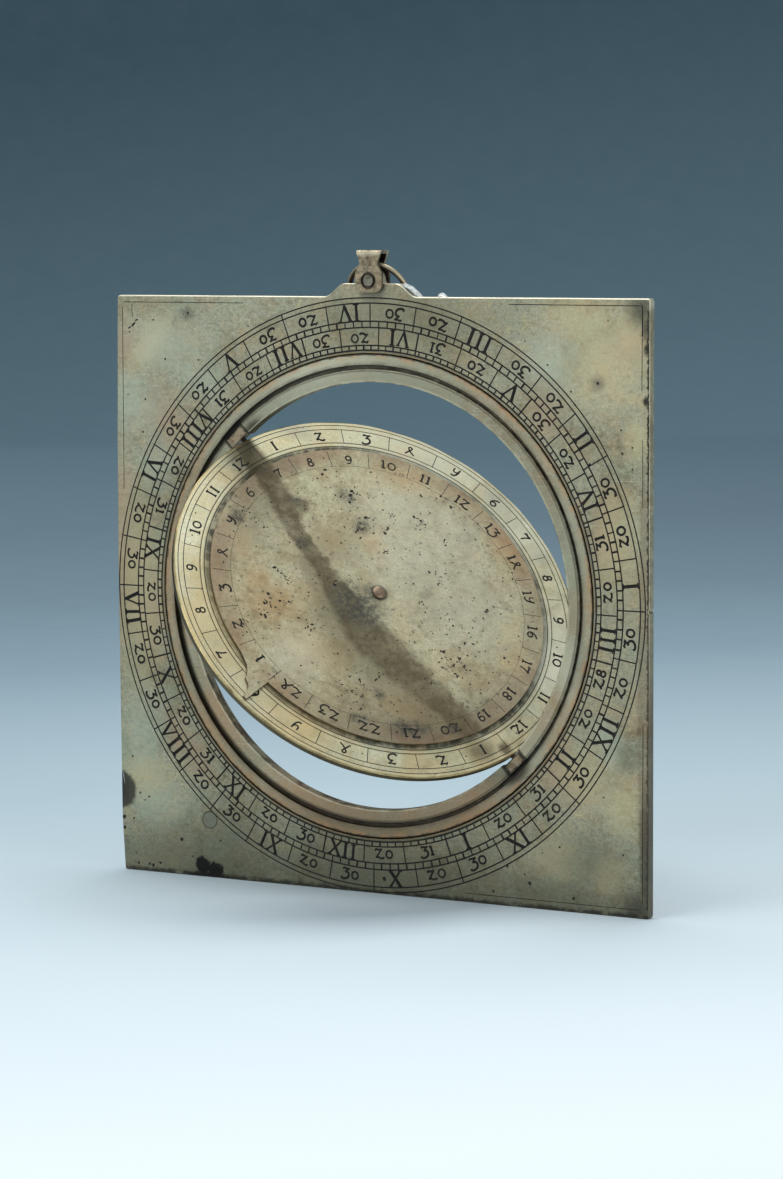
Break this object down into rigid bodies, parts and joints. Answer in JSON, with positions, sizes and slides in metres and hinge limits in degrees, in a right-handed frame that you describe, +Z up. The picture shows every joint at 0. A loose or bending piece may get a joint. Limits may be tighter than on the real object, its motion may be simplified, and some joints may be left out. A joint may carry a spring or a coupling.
{
  "type": "square plate ring dial",
  "caption": "Pocket sundial: a square plate holds a turning ring, in which an hour plate with an hour disc and pointer swings on two pivots; a ring and shackle hang it.",
  "frame": {"origin": "middle of the square plate's bottom edge, halfway through its thickness", "axes": "+X to the right and +Z up as the engraved front is read, +Y away from the reader (the front faces -Y)"},
  "size_m": [0.1207, 0.0769, 0.1292],
  "materials": {
    "gilt_plate": "aged gilding worn to a grey-green patina",
    "grey_plug": "dull grey",
    "retaining_brass": "aged, satin",
    "carrier_brass": "aged, satin",
    "upper_block_brass": "aged, satin",
    "lower_block_brass": "aged, satin",
    "upper_pin_brass": "aged, satin",
    "lower_pin_brass": "aged, satin",
    "hour_plate_gilt": "aged, satin",
    "hour_disc_gilt": "aged gilding, pitted and stained",
    "centre_rivet_copper": "aged, satin",
    "washer_brass": "aged, satin",
    "shackle_brass": "aged, satin",
    "shackle_rivet_brass": "aged, satin",
    "ring_wire_brass": "aged, satin"
  },
  "bodies": {
    "plate": {"base_plate": "gilt_plate", "plate_plug": "grey_plug", "retaining_ring": "retaining_brass"},
    "carrier": {"carrier_ring": "carrier_brass", "upper_pivot_block": "upper_block_brass", "lower_pivot_block": "lower_block_brass"},
    "hours": {"hour_plate": "hour_plate_gilt", "upper_pivot_pin": "upper_pin_brass", "lower_pivot_pin": "lower_pin_brass", "centre_rivet": "centre_rivet_copper", "centre_washer": "washer_brass"},
    "disc": {"hour_disc": "hour_disc_gilt"},
    "shackle": {"shackle": "shackle_brass", "shackle_rivet": "shackle_rivet_brass"},
    "ring": {"suspension_ring": "ring_wire_brass"}
  },
  "joints": [
    {"name": "carrier_turn", "type": "hinge", "parent": "plate", "child": "carrier", "pos_m": [-0.00064, 0, 0.06], "axis": [0, 1, 0], "continuous": true},
    {"name": "hour_plate_tilt", "type": "hinge", "parent": "carrier", "child": "hours", "pos_m": [-0.00064, 0.00105, 0.06], "axis": [-0.7071, 0, 0.7071], "continuous": true},
    {"name": "hour_disc_turn", "type": "hinge", "parent": "hours", "child": "disc", "pos_m": [-0.00064, 0.00105, 0.06], "axis": [0.6306, -0.4524, 0.6306], "continuous": true},
    {"name": "shackle_swing", "type": "hinge", "parent": "plate", "child": "shackle", "pos_m": [-0.00064, 0, 0.1232], "axis": [0, 1, 0], "range_deg": [-35, 35]},
    {"name": "ring_swing", "type": "hinge", "parent": "plate", "child": "ring", "pos_m": [-0.00064, 0, 0.12642], "axis": [1, 0, 0], "range_deg": [0, 308]}
  ]
}
